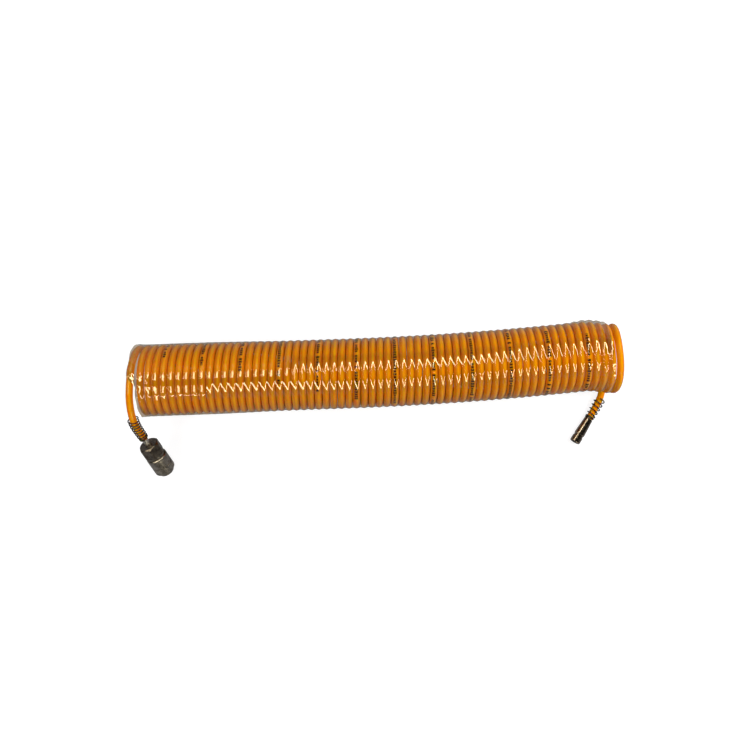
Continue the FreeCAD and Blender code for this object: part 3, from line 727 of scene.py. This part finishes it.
dress(hex_and_stem(), "socket_hex_stem")
body_nickel = metal("body_nickel", (0.30, 0.28, 0.25), (0.16, 0.14, 0.12), 0.22, 0.36)
dress(body_nickel, "socket_body")
sleeve_nickel = metal("sleeve_nickel", (0.42, 0.385, 0.345), (0.225, 0.205, 0.182), 0.22, 0.36)
dress(sleeve_nickel, "socket_sleeve")
spring_wire = metal("bright_spring_wire", (0.56, 0.55, 0.53), (0.40, 0.39, 0.37), 0.18, 0.30)
dress(spring_wire, "sleeve_stop_ring", "sleeve_spring", "valve_spring")
shorten("sleeve_spring")
shorten("valve_spring")
ball_steel = metal("polished_ball_steel", (0.66, 0.66, 0.67), (0.50, 0.50, 0.52), 0.06, 0.14)
dress(ball_steel, *[f"lock_ball_{number}" for number in range(1, 7)])
valve_brass = metal("turned_brass", (0.72, 0.52, 0.22), (0.52, 0.36, 0.14), 0.18, 0.34)
dress(valve_brass, "valve_poppet")

# Seals: black nitrile rubber, slightly bloomed. One sits on the valve poppet and the other in
# the socket's bore, where it closes on the plug.
seal_black = (0.012, 0.012, 0.013, 1)
seal_bloom = (0.030, 0.030, 0.031, 1)
seal_blooms = 700


def black_nitrile():
    """Matt black with faint grey clouds."""
    material, principled, wire = new_material("black_nitrile")
    place = wire.add("ShaderNodeTexCoord").outputs["Object"]
    bloom = wire.add("ShaderNodeTexNoise", {"Vector": place, "Scale": seal_blooms})
    wire.feed(principled, {
        "Base Color": wire.mix(bloom.outputs["Fac"], seal_black, seal_bloom),
        "Roughness": 0.6,
    })
    return material


dress(black_nitrile(), "valve_seal", "plug_packing")

# Plug: turned from one steel bar, with a taper, a neck for the lock balls and a round nose, and
# plated bright.
plug_plating = metal("polished_plating", (0.36, 0.305, 0.25), (0.21, 0.17, 0.138), 0.15, 0.27)
dress(plug_plating, "plug")

# Floor: a wide pale board, lit up a little where it is seen, so that it comes out white and
# still takes the object's soft shadow. Seen through the film it is lit up less, so the gaps between
# the turns show their shade dark, and the lift left there is amber, a painted amber bounce from
# the hose.
floor_half = 6.0
floor_lift = 0.84
floor_lift_mirrored = 0.05
floor_dimmed_by_film = 0.72
floor_painted_amber_bounce = (1.0, 0.60, 0.25, 1)
floor_points = floor_half * np.array([(-1, -1, 0), (1, -1, 0), (1, 1, 0), (-1, 1, 0)])


def pale_floor():
    """The lift is floor_lift where the camera or glass would show the floor, and floor_lift *
    floor_lift_mirrored where gloss does. A ray of the camera that has passed the film has a
    transparent depth of 1 or more, and takes off floor_dimmed_by_film of the lift. The lift left
    there is amber, a painted amber bounce from the hose."""
    material, principled, wire = new_material("pale_floor")
    rays = wire.add("ShaderNodeLightPath").outputs
    through_film = wire.math("GREATER_THAN", rays["Transparent Depth"], 0.5)
    bare = wire.math("MULTIPLY_ADD", through_film, -floor_dimmed_by_film, 1.0)
    direct = wire.math("MULTIPLY", rays["Is Camera Ray"], bare)
    mirrored = wire.math("MULTIPLY", rays["Is Glossy Ray"], floor_lift_mirrored)
    seen = wire.math("MAXIMUM", wire.math("MAXIMUM", direct, mirrored), rays["Is Transmission Ray"])
    wire.feed(principled, {
        "Base Color": (0.28, 0.28, 0.28, 1),
        "Roughness": 0.9,
        "Specular IOR Level": 0.1,
        # Painted amber bounce: the lift seen through the film is amber.
        "Emission Color": wire.mix(through_film, (1, 1, 1, 1), floor_painted_amber_bounce),
        "Emission Strength": wire.math("MULTIPLY", seen, floor_lift),
    })
    return material


floor = new_piece("floor", floor_points, [[0, 1, 2, 3]], pale_floor())

# Studio light: two long strip lamps that run beside the coil, a soft box over its left end, broad
# lights above it, and a pale room that is darker overhead.
glint_tint = (1.0, 0.92, 0.70)
lamp_aim_y = 0.01


def lamp(name, tilt_degrees, x, distance, size, brightness, glint):
    """An area lamp that faces the coil: at an angle about x from the camera's line of sight, at an
    x and at a distance from the coil's line, which is taken to run at lamp_aim_y. Its size is in
    metres and its power is brightness * pi * area. A glint lamp is seen only in the gloss, and
    any other lamp only lights the surfaces."""
    tilt = math.radians(tilt_degrees) + math.pi / 2 - camera_elevation
    outward = Vector((0, -math.sin(tilt), math.cos(tilt)))
    data = bpy.data.lights.new(name, "AREA")
    data.shape = "RECTANGLE"
    data.size, data.size_y = size
    data.energy = brightness * math.pi * size[0] * size[1]
    holder = bpy.data.objects.new(name, data)
    holder.matrix_world = (
        Matrix.Translation(Vector((x, lamp_aim_y, coil_height)) + outward * distance)
        @ Matrix.Rotation(tilt, 4, "X")
    )
    holder.visible_camera = False
    holder.visible_diffuse = not glint
    holder.visible_glossy = glint
    if glint:
        data.color = glint_tint
    scene.collection.objects.link(holder)


lamp("back_strip", -36.0, 0.0, 1.25, (3.2, 0.14), 9.0, glint=True)
lamp("front_strip", 52.0, 0.0, 1.25, (3.2, 0.12), 8.4, glint=True)
lamp("soft_box", -11.5, -0.90, 1.10, (1.4, 0.46), 4.4, glint=True)
lamp("broad_light", -34.0, 0.20, 1.40, (2.0, 1.5), 0.80, glint=False)
lamp("left_light", 20.0, -0.95, 1.05, (0.6, 0.6), 9.0, glint=False)
lamp("right_light", -6.0, 0.95, 1.05, (0.6, 0.6), 14.6, glint=False)

room_low = 0.40
room_overhead = 0.05
room_cloth = 0.80

room = bpy.data.worlds.new("pale_room")
scene.world = room
room.use_nodes = True
wire = Wiring(room.node_tree)
rays = wire.add("ShaderNodeLightPath").outputs
direction = wire.add("ShaderNodeTexCoord").outputs["Generated"]
upward = wire.add("ShaderNodeSeparateXYZ", {0: direction}).outputs["Z"]
pale = wire.spread(upward, 0.05, 0.75, room_low, room_overhead)
# Dark cloth hangs on the sides that the gloss would mirror, and the camera sees plain white.
hung = wire.math("MULTIPLY_ADD", rays["Is Glossy Ray"], -room_cloth, 1.0)
level = wire.math("MAXIMUM", wire.math("MULTIPLY", pale, hung), rays["Is Camera Ray"])
wire.feed(room.node_tree.nodes["Background"], {"Color": (1, 1, 1, 1), "Strength": level})
scene.view_settings.view_transform = "Standard"
